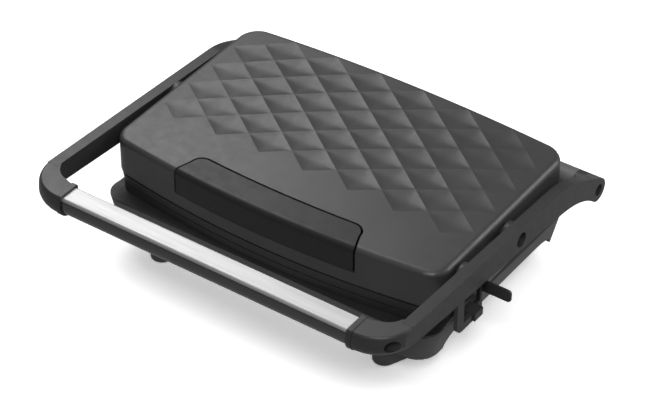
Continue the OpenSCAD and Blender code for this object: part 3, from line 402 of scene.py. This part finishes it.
class LidShape:
    """The lid's outline and crown, and where its diamonds are."""

    def __init__(self, sizes):
        self.s = sizes
        self.half = (LID_HIGH.x - LID_LOW.x) / 2
        self.back = LID_HIGH.y
        self.front = LID_LOW.y
        self.bow_y = self.front + sizes.bow_radius
        self.a = sizes.diamond_width / 2
        self.b = sizes.diamond_depth / 2
        self.quilt_front = self.back - sizes.quilt_back - (sizes.rows + 1) * self.b
        self.columns = math.floor((self.half - sizes.quilt_side) / self.a)

    def top(self, x, y):
        """Height of the top: nearly level along its edges, crowned in the middle."""
        s = self.s
        level = s.edge_height + s.rise * (y - self.front) / (self.back - self.front)
        return level + s.crown * (1 - (x / self.half) ** 2) * (1 - ((self.back - y) / s.crown_run) ** 2)

    def corner(self, inset):
        """Centre and radius of the two kinds of corner at an inset, on the right-hand side."""
        r = self.s.corner_radius - inset
        x = self.half - inset - r
        big = self.s.bow_radius - inset
        y = self.bow_y - math.sqrt((big - r) ** 2 - x * x)
        return x, y, self.back - inset - r, r

    def outward(self, p, inset):
        """The outline's outward direction next to a point on or near it."""
        cx, front_y, back_y, _ = self.corner(inset)
        side = 1 if p.x >= 0 else -1
        ax = abs(p.x)
        if p.y > back_y:
            n = Vector((ax - cx, p.y - back_y)) if ax > cx else Vector((0, 1))
        elif p.y >= front_y:
            n = Vector((1, 0))
        elif math.atan2(ax, self.bow_y - p.y) < math.atan2(cx, self.bow_y - front_y):
            n = Vector((ax, p.y - self.bow_y))
        else:
            n = Vector((ax - cx, p.y - front_y))
        n.normalize()
        return Vector((n.x * side, n.y, 0))

    def beyond(self, p):
        """How far a point lies outside the outline; negative inside it."""
        cx, front_y, back_y, r = self.corner(0.0)
        ax = abs(p.x)
        if ax > cx and p.y > back_y:
            return math.hypot(ax - cx, p.y - back_y) - r
        if ax > cx and p.y < front_y:
            return math.hypot(ax - cx, p.y - front_y) - r
        big = math.hypot(p.x, p.y - self.bow_y) - self.s.bow_radius
        return max(ax - self.half, p.y - self.back, big if p.y < self.bow_y else ax - self.half)

    def planes(self, inset, bow_steps=30, corner_steps=8):
        """Cutting planes round the outline at an inset, as points and outward directions."""
        cx, front_y, back_y, r = self.corner(inset)
        cuts = [(Vector((0, self.back - inset, 0)), Vector((0, 1, 0)))]
        bow = math.atan2(cx, self.bow_y - front_y)
        big = self.s.bow_radius - inset
        for i in range(-bow_steps, bow_steps + 1):
            t = bow * i / bow_steps
            n = Vector((math.sin(t), -math.cos(t), 0))
            cuts.append((Vector((0, self.bow_y, 0)) + n * big, n))
        for side in (1, -1):
            cuts.append((Vector((side * (self.half - inset), 0, 0)), Vector((side, 0, 0))))
            for i in range(1, corner_steps):
                t = QUARTER * i / corner_steps
                n = Vector((side * math.cos(t), math.sin(t), 0))
                cuts.append((Vector((side * cx, back_y, 0)) + n * r, n))
                t = bow + (QUARTER - bow) * i / corner_steps
                n = Vector((side * math.sin(t), -math.cos(t), 0))
                cuts.append((Vector((side * cx, front_y, 0)) + n * r, n))
        return cuts

    def scoop(self, x, y):
        """Depth of the hollow at a point."""
        # the half-diamond cell that the point is in; diamonds are centred on every other cell corner
        k0 = math.floor(x / self.a + 1e-6)
        j0 = math.floor((y - self.quilt_front) / self.b + 1e-6)
        best = 0.0
        for k in (k0, k0 + 1):
            for j in (j0, j0 + 1):
                if (k + j) % 2 == 0 or not 1 <= j <= self.s.rows or abs(k) >= self.columns:
                    continue
                u = x / self.a - k
                v = (y - self.quilt_front) / self.b - j
                if abs(u) + abs(v) < 1:
                    # each is 0 on one pair of ridges and 1 in the middle; the tiny term below
                    # keeps the corners, where both are 0, from a division by 0
                    p, q = 1 - (u + v) ** 2, 1 - (u - v) ** 2
                    depth = self.s.outer_depth if abs(k) >= self.columns - 2 else 1.0
                    # falls away equally steeply all along a ridge
                    best = max(best, depth * p * q / math.sqrt(p * p + q * q - p * p * q * q + 1e-12))
        return best * self.s.scoop

    def insert_outline(self, grow):
        """The insert's outline from above; its back edge follows the lid's front."""
        s = self.s
        corner = s.insert_corner
        big = s.bow_radius - s.insert_depth
        x = s.insert_back_width / 2 - corner
        y = self.bow_y - math.sqrt((big + corner) ** 2 - x * x)
        turn = math.atan2(x, self.bow_y - y)
        side = s.insert_width / 2 + grow
        half = [(side, self.front - INSERT_AHEAD), (side, self.front + INSERT_STRAIGHT)]
        for i in range(7):
            t = (QUARTER + turn) * i / 6
            half.append((x + (corner + grow) * math.cos(t), y + (corner + grow) * math.sin(t)))
        for i in (3, 2, 1):
            t = turn * i / 4
            half.append(((big - grow) * math.sin(t), self.bow_y - (big - grow) * math.cos(t)))
        middle = [(0, self.bow_y - big + grow)]
        return half + middle + [(-x, y) for x, y in reversed(half)]


def inside(outline, x, y):
    """Whether a point lies inside a closed outline."""
    odd = False
    for (ax, ay), (bx, by) in zip(outline, outline[1:] + outline[:1]):
        if (ay > y) != (by > y) and x < ax + (y - ay) * (bx - ax) / (by - ay):
            odd = not odd
    return odd


def settle_order(bm):
    """Sorts a mesh by place, because an extrusion's order differs from run to run."""

    def rank(co):
        return co.x + 3.17 * co.y + 7.93 * co.z

    bm.verts.sort(key=lambda v: rank(v.co))
    bm.edges.sort(key=lambda e: rank(e.verts[0].co + e.verts[1].co))
    bm.faces.sort(key=lambda f: rank(f.calc_center_median()))


def cut_insert(bm, shape, grow, keep_inside):
    """Cuts the lid's skin along the insert's outline and keeps one side of the cut."""
    outline = shape.insert_outline(grow)
    # the groove is narrower below the insert than beside it
    low = shape.s.insert_low - grow * 0.25

    def near(xs, ys):
        """The skin next to a stretch of the outline."""

        def close(co):
            beside = min(xs) - CUT_REACH < co.x < max(xs) + CUT_REACH
            return beside and min(ys) - CUT_REACH < co.y < max(ys) + CUT_REACH

        faces = [f for f in bm.faces if any(close(v.co) for v in f.verts)]
        edges = list(dict.fromkeys(e for f in faces for e in f.edges))
        return faces + edges + list(dict.fromkeys(v for e in edges for v in e.verts))

    def cut(xs, ys, point, normal):
        bmesh.ops.bisect_plane(bm, geom=near(xs, ys), dist=1e-5, plane_co=point, plane_no=normal)

    side = outline[0][0]
    cut((-side, side), (shape.front, shape.front + CUT_REACH), Vector((0, 0, low)), Vector((0, 0, 1)))
    for (ax, ay), (bx, by) in zip(outline, outline[1:] + outline[:1]):
        if ay > shape.front or by > shape.front:
            cut((ax, bx), (ay, by), Vector((ax, ay, 0)), Vector((by - ay, ax - bx, 0)).normalized())

    def covered(face):
        c = face.calc_center_median()
        return c.z > low and inside(outline, c.x, c.y)

    bmesh.ops.delete(bm, geom=[f for f in bm.faces if covered(f) != keep_inside], context="FACES")
    settle_order(bm)
    bmesh.ops.remove_doubles(bm, verts=bm.verts, dist=SLIVER)
    settle_order(bm)


def lid_surface(shape, radius):
    """The lid's outer skin as an open mesh: top, hollows, rounded edge and wall, about x = 0."""
    s = shape.s
    bm = bmesh.new()
    # a grid laid along the diamonds' edges, so that each ridge is a line of the mesh; it has
    # an odd number of cells, so its own middle is half a cell off the lattice
    reach = shape.half / shape.a + (shape.back - shape.front) / shape.b / 2 + 1
    cells = 2 * math.ceil(reach / 2) + 1
    bmesh.ops.create_grid(bm, x_segments=cells * s.steps, y_segments=cells * s.steps, size=cells / 2)
    # the lattice point nearest to the lid's middle
    mid = round(((shape.front + shape.back) / 2 - shape.quilt_front) / shape.b)
    for v in bm.verts:
        u, w = v.co.x + 0.5, v.co.y + 0.5
        v.co = Vector(((u + w) * shape.a, (u - w) * shape.b + shape.quilt_front + mid * shape.b, 0))
    for point, normal in shape.planes(radius):
        bmesh.ops.bisect_plane(
            bm, geom=bm.verts[:] + bm.edges[:] + bm.faces[:], dist=1e-6,
            plane_co=point, plane_no=normal, clear_outer=True,
        )
    for v in bm.verts:
        v.co.z = shape.top(v.co.x, v.co.y) - shape.scoop(v.co.x, v.co.y)
    if sum(f.normal.z for f in bm.faces) < 0:
        bmesh.ops.reverse_faces(bm, faces=bm.faces)
    # the rounded edge and the wall, ring by ring from the rim
    rim = [e for e in bm.edges if e.is_boundary]
    last = 0.0
    for i in range(1, EDGE_RINGS + 1):
        turn = QUARTER * i / EDGE_RINGS
        out = radius * math.sin(turn)
        rim, verts = grow_ring(bm, rim)
        for v in verts:
            v.co += shape.outward(v.co, radius - last) * (out - last)
            v.co.z = shape.top(v.co.x, v.co.y) - radius * (1 - math.cos(turn))
        last = out
    bottom = LID_LOW.z + s.seam
    for height, tuck in WALL_RINGS:
        rim, verts = grow_ring(bm, rim)
        for v in verts:
            v.co -= shape.outward(v.co, 0.0) * tuck
            v.co.z = bottom + height
    settle_order(bm)
    return bm


def crisp_ridges(bm, shape):
    """Keeps the ridges between the diamonds sharp right into their corners."""

    def hollow(co):
        return shape.scoop(co.x, co.y) > 1e-6

    for e in bm.edges:
        if len(e.link_faces) == 2 and not any(hollow(v.co) for v in e.verts):
            if any(hollow(f.calc_center_median()) for f in e.link_faces):
                e.smooth = False


def grow_ring(bm, rim):
    """Extrudes an open rim and returns the new rim and its points."""
    made = bmesh.ops.extrude_edge_only(bm, edges=rim)["geom"]
    verts = [g for g in made if isinstance(g, bmesh.types.BMVert)]
    new = set(verts)
    edges = [g for g in made if isinstance(g, bmesh.types.BMEdge) and new.issuperset(g.verts)]
    return edges, verts


class TOASTER_OT_lid_cover(bpy.types.Operator):
    """Makes the quilted lid cover and the insert in its front"""

    bl_idname = "toaster.lid_cover"
    bl_label = "Lid cover"

    def execute(self, context):
        sizes = context.scene.toaster_lid
        shape = LidShape(sizes)
        gap = sizes.insert_gap / 2
        for name, node, grow, is_insert, wall in (
            ("quilted_lid", "lid_cover", gap, False, sizes.wall),
            ("lid_front_insert", "front_insert", -gap, True, sizes.insert_wall),
        ):
            bm = lid_surface(shape, sizes.edge_radius)
            cut_insert(bm, shape, grow, is_insert)
            crisp_ridges(bm, shape)
            bmesh.ops.translate(bm, verts=bm.verts, vec=(LID_X, 0, 0))
            obj = finish_piece(context, bm, name, node, LID_SMOOTH)
            shell = obj.modifiers.new("wall", "SOLIDIFY")
            shell.thickness = wall
            shell.offset = -1
            level_shading(obj)
        return {"FINISHED"}


# ---- the handle frame, the base and the small outer parts ---------------------------------

# node, piece, and which rounding its edges get
OUTER_PARTS = (
    ("right_arm", "handle_arm_right", "soft_edge"),
    ("left_arm", "handle_arm_left", "soft_edge"),
    ("right_arm_strip", "arm_strip_right", None),
    ("left_arm_strip", "arm_strip_left", None),
    ("grip_collars", "grip_end_collars", "fine_edge"),
    ("lower_housing", "base_lower_housing", "fine_edge"),
    ("foot_posts", "foot_legs", None),
    ("bottom_pan", "base_bottom_pan", None),
    ("pan_screws", "pan_fixing_screws", None),
    ("latch", "side_latch", "fine_edge"),
    ("catch_plate", "latch_catch", "fine_edge"),
    ("release_lever", "side_lever", "fine_edge"),
    ("rubber_feet", "foot_pads", None),
    ("hinge_pins", "hinge_pin_pair", None),
    ("pivot_pins", "lid_pivot_pins", None),
    ("grip_screws", "grip_end_screws", None),
    ("pivot_bushes", "lid_pivot_bushes", None),
    ("cord_gland", "lead_grommet", None),
)
# rounding of the bands' edges
BAND_EDGE = 0.0003
# the base frame's wall: how far outside the lid's outline its foot starts, the height below
# which it is set back, and how far inside the outline its faces then lie
WALL_FOOT = 0.0022
WALL_TOP = 0.0470
WALL_INSIDE = 0.0008
# the grip's front keeps its shape over this depth
GRIP_FRONT = 0.004
# how far the bar and its strip stop short of the collars' rear
BAR_REAR = 0.0008
STRIP_REAR = 0.0017
# the strip's front lip: its depth and height, and how far it is rolled out and down
LIP_DEPTH = 0.0006
LIP_HEIGHT = 0.00045
LIP_ROLL = 0.0003


def lift_underside(bm, node, seam):
    """Lifts a band's underside a little, which leaves a dark seam below it."""
    under = UNDERSIDE[node]
    for v in bm.verts:
        if under - 1e-5 < v.co.z < under + seam:
            v.co.z = under + seam


def soften_band(bm):
    """Merges what the lift and the shift brought together, and rounds the edges."""
    bmesh.ops.remove_doubles(bm, verts=bm.verts, dist=BAND_MERGE)
    soften(bm, BAND_EDGE)


def stand_upright(bm, shape, shift):
    """Sets the base frame's wall upright, a ledge's width inside the lid's outline."""
    for v in bm.verts:
        p = v.co - shift
        out = shape.beyond(p)
        if -shape.s.ledge < out < WALL_FOOT and v.co.z < WALL_TOP:
            v.co -= shape.outward(p, 0.0) * (out + shape.s.ledge)


def mark_wall(bm, shape, shift):
    """Gives the faces of the base frame's wall the second material."""
    for f in bm.faces:
        c = f.calc_center_median() - shift
        f.material_index = int(shape.beyond(c) < -WALL_INSIDE and c.z > UNDERSIDE["base_frame"])


def fill_collars(bm, node, rear):
    """Widens the bar or its strip rearwards from behind its front, up to a place in the collars."""
    low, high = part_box(node)
    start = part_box("grip_core")[0].y + GRIP_FRONT
    for v in bm.verts:
        if v.co.y > start:
            v.co.y += (rear - high.y) * (v.co.y - start) / (high.y - start)
        if node == "grip_strip" and v.co.y < low.y + LIP_DEPTH and v.co.z < low.z + LIP_HEIGHT:
            v.co += Vector((0, -LIP_ROLL, -LIP_ROLL))


class TOASTER_OT_outer_parts(bpy.types.Operator):
    """Dresses the arms, the latch, the lever, the lower housing and the small outer parts"""

    bl_idname = "toaster.outer_parts"
    bl_label = "Outer parts"

    def execute(self, context):
        looks = context.scene.toaster_finishes
        for node, name, edge in OUTER_PARTS:
            dress_node(context, node, name, getattr(looks, edge) if edge else 0.0)
        return {"FINISHED"}


class TOASTER_OT_bands(bpy.types.Operator):
    """Makes the lid's lower band and the base's upper frame, with the dark seams below them"""

    bl_idname = "toaster.bands"
    bl_label = "Bands"

    def execute(self, context):
        sizes = context.scene.toaster_lid
        bm = from_node("lid_frame")
        lift_underside(bm, "lid_frame", sizes.thin_seam)
        soften_band(bm)
        level_shading(finish_piece(context, bm, "lid_lower_band", "lid_frame"))

        shape = LidShape(sizes)
        shift = Vector((LID_X, 0, 0))
        bm = from_node("base_frame")
        lift_underside(bm, "base_frame", sizes.seam)
        stand_upright(bm, shape, shift)
        soften_band(bm)
        mark_wall(bm, shape, shift)
        obj = finish_piece(context, bm, "base_upper_frame", "base_frame")
        obj.data.materials.append(materials(context)["frame_band"])
        level_shading(obj)
        return {"FINISHED"}


class TOASTER_OT_grip(bpy.types.Operator):
    """Makes the grip's bar and the brushed strip on it"""

    bl_idname = "toaster.grip"
    bl_label = "Grip"

    def execute(self, context):
        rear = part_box("grip_collars")[1].y
        for node, name, short in (
            ("grip_core", "grip_bar", BAR_REAR),
            ("grip_strip", "grip_metal_strip", STRIP_REAR),
        ):
            bm = from_node(node)
            fill_collars(bm, node, rear - short)
            level_shading(finish_piece(context, bm, name, node))
        return {"FINISHED"}


class TOASTER_OT_inner_parts(bpy.types.Operator):
    """Gives the parts that keep their own mesh their finishes"""

    bl_idname = "toaster.inner_parts"
    bl_label = "Inner parts"

    def execute(self, context):
        for name, obj in frame["nodes"].items():
            if obj.hide_render:
                continue
            obj.data.materials.clear()
            obj.data.materials.append(materials(context)[SLOT_OF[name]])
        return {"FINISHED"}


# ---- stage -------------------------------------------------------------------------------

FLOOR_SIZE = 6.0
WORLD_STRENGTH = 0.2
# each lamp's name, place, aim, side in metres and power in watts
LAMPS = (
    ("key", (-0.72, 0.36, 0.90), (0, 0, 0.06), 0.75, 7.7),
    ("top", (-0.18, 0.22, 1.6), (0, 0, 0.06), 0.8, 3.5),
    ("fill", (0.75, -0.9, 1.4), (0, 0, 0.05), 0.6, 16.0),
    ("rim", (0.95, 0.9, 0.6), (0.1, 0, 0.08), 0.75, 9.0),
)


def aim(obj, target):
    """Points a camera or a lamp at a place."""
    obj.rotation_euler = (Vector(target) - obj.location).to_track_quat("-Z", "Y").to_euler()


def add_object(context, name, data, location=(0, 0, 0)):
    """A new object in the scene."""
    obj = bpy.data.objects.new(name, data)
    context.scene.collection.objects.link(obj)
    obj.location = location
    return obj


def soft_box(context, name, location, target, side, power):
    """A square studio lamp."""
    data = bpy.data.lights.new(name, "AREA")
    data.shape = "RECTANGLE"
    data.size = data.size_y = side
    data.energy = power
    aim(add_object(context, name, data, location), target)


def calculate(tree, operation, first, second):
    """A sum on two values, each a socket or a number."""
    node = tree.nodes.new("ShaderNodeMath")
    node.operation = operation
    for socket, value in zip(node.inputs, (first, second)):
        if isinstance(value, bpy.types.NodeSocket):
            tree.links.new(value, socket)
        else:
            socket.default_value = value
    return node.outputs[0]


def pale_floor(stage):
    """A floor that the camera and reflections see white, and that lights the toaster as a grey one."""
    mat, tree, shader, _ = new_material("pale_floor", (0.6, 0.6, 0.6), 0.9)
    shader.inputs["Specular IOR Level"].default_value = 0.0
    ray = tree.nodes.new("ShaderNodeLightPath").outputs
    own = ramp(tree, ray["Is Camera Ray"], stage.floor_grey, stage.floor_white, 0.0, 1.0)
    tree.links.new(own, shader.inputs["Base Color"])
    glow = tree.nodes.new("ShaderNodeEmission")
    glow.inputs["Strength"].default_value = 1.0
    mirrored = calculate(tree, "MAXIMUM", ray["Is Glossy Ray"], ray["Is Transmission Ray"])
    mirrored = calculate(tree, "MULTIPLY", mirrored, stage.mirrored_glow)
    seen = calculate(tree, "MAXIMUM", ray["Is Camera Ray"], mirrored)
    mix = tree.nodes.new("ShaderNodeMixShader")
    tree.links.new(calculate(tree, "MULTIPLY", seen, stage.floor_glow), mix.inputs["Fac"])
    tree.links.new(shader.outputs[0], mix.inputs[1])
    tree.links.new(glow.outputs[0], mix.inputs[2])
    tree.links.new(mix.outputs[0], tree.nodes["Material Output"].inputs["Surface"])
    return mat


def add_camera(context, stage):
    """The camera, aimed at its target."""
    data = bpy.data.cameras.new("view")
    data.lens = stage.lens
    data.sensor_width = 36.0
    data.clip_start = 0.05
    data.clip_end = 30.0
    camera = add_object(context, "view", data, stage.camera)
    aim(camera, stage.target)
    context.scene.camera = camera


def add_floor(context, stage):
    """One wide flat floor."""
    bm = bmesh.new()
    bmesh.ops.create_grid(bm, x_segments=2, y_segments=2, size=FLOOR_SIZE)
    mesh = bpy.data.meshes.new("floor")
    bm.to_mesh(mesh)
    bm.free()
    mesh.materials.append(pale_floor(stage))
    add_object(context, "floor", mesh)


def add_world(context):
    """A plain white surround that fills the shadows a little."""
    world = bpy.data.worlds.new("studio")
    context.scene.world = world
    world.use_nodes = True
    back = world.node_tree.nodes["Background"]
    back.inputs["Color"].default_value = (1, 1, 1, 1)
    back.inputs["Strength"].default_value = WORLD_STRENGTH


class TOASTER_OT_stage(bpy.types.Operator):
    """Sets the floor, the studio light and the camera"""

    bl_idname = "toaster.stage"
    bl_label = "Stage"

    def execute(self, context):
        stage = context.scene.toaster_stage
        add_camera(context, stage)
        add_floor(context, stage)
        add_world(context)
        for lamp in LAMPS:
            soft_box(context, *lamp)
        context.scene.view_settings.view_transform = "Standard"
        return {"FINISHED"}


class TOASTER_PT_panel(bpy.types.Panel):
    """Lists the toaster's sizes and pieces"""

    bl_idname = "TOASTER_PT_panel"
    bl_label = "Sandwich toaster"
    bl_space_type = "VIEW_3D"
    bl_region_type = "UI"
    bl_category = "Toaster"

    def draw(self, context):
        for group, _ in GROUPS:
            box = self.layout.box()
            settings = getattr(context.scene, group)
            for key in settings.bl_rna.properties.keys():
                if key not in ("rna_type", "name"):
                    box.prop(settings, key)
        for operator in OPERATORS:
            self.layout.operator(operator.bl_idname)


GROUPS = (("toaster_lid", LidSizes), ("toaster_finishes", Finishes), ("toaster_stage", StageSizes))
OPERATORS = (
    TOASTER_OT_lid_cover,
    TOASTER_OT_outer_parts,
    TOASTER_OT_bands,
    TOASTER_OT_grip,
    TOASTER_OT_inner_parts,
    TOASTER_OT_stage,
)


def register():
    for name, group in GROUPS:
        bpy.utils.register_class(group)
        setattr(bpy.types.Scene, name, PointerProperty(type=group))
    for cls in (*OPERATORS, TOASTER_PT_panel):
        bpy.utils.register_class(cls)


def unregister():
    for cls in reversed((*OPERATORS, TOASTER_PT_panel)):
        bpy.utils.unregister_class(cls)
    for name, group in reversed(GROUPS):
        delattr(bpy.types.Scene, name)
        bpy.utils.unregister_class(group)


def main():
    """Builds every piece and the stage."""
    register()
    bpy.ops.toaster.lid_cover()
    bpy.ops.toaster.outer_parts()
    bpy.ops.toaster.bands()
    bpy.ops.toaster.grip()
    bpy.ops.toaster.inner_parts()
    bpy.ops.toaster.stage()


if __name__ == "__main__":
    main()
